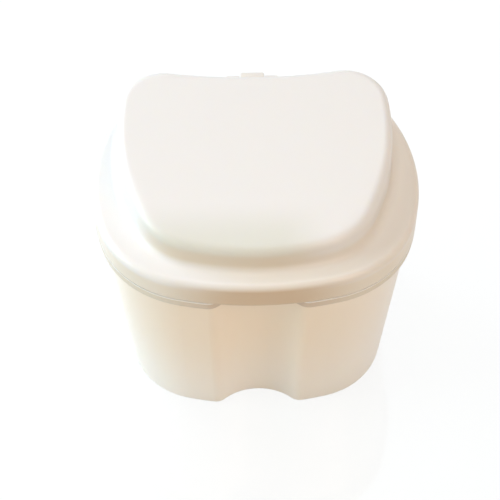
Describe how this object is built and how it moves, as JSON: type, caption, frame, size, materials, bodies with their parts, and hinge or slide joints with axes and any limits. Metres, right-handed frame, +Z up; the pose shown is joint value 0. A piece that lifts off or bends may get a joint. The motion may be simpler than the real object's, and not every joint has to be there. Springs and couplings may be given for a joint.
{
  "type": "denture case",
  "caption": "Kidney-outline denture cup with a fluted, drafted wall, a hinged lid with an inclined raised top, and a lift-out strainer basket with a folding bail.",
  "frame": {"origin": "middle of the footprint of the closed case, on the surface it stands on", "axes": "+X to the right of the case seen from its front, +Y to its rear, where the hinge is, +Z up"},
  "size_m": [0.085, 0.0804, 0.0724],
  "materials": {
    "case_plastic": "moulded ivory-white plastic with a soft gloss",
    "basket_plastic": "moulded white plastic with a soft gloss",
    "pin_plastic": "plain moulded plastic"
  },
  "bodies": {
    "cup": {"cup": "case_plastic", "hinge_pin": "pin_plastic"},
    "lid": {"lid": "case_plastic"},
    "basket": {"strainer_basket": "basket_plastic"},
    "handle": {"basket_handle": "basket_plastic"}
  },
  "joints": [
    {"name": "lid_hinge", "type": "hinge", "parent": "cup", "child": "lid", "pos_m": [0, 0.03765, 0.0527], "axis": [-1, 0, 0], "range_deg": [0, 115]},
    {"name": "basket_lift", "type": "slide", "parent": "cup", "child": "basket", "axis": [0, 0, 1], "range_m": [0, 0.058]},
    {"name": "handle_fold", "type": "hinge", "parent": "basket", "child": "handle", "pos_m": [0, -0.00896, 0.0445], "axis": [-1, 0, 0], "range_deg": [0, 90]}
  ],
  "couplings": [
    {"joint": "basket_lift", "follows": "lid_hinge", "m_per_rad": 0.0288}
  ]
}
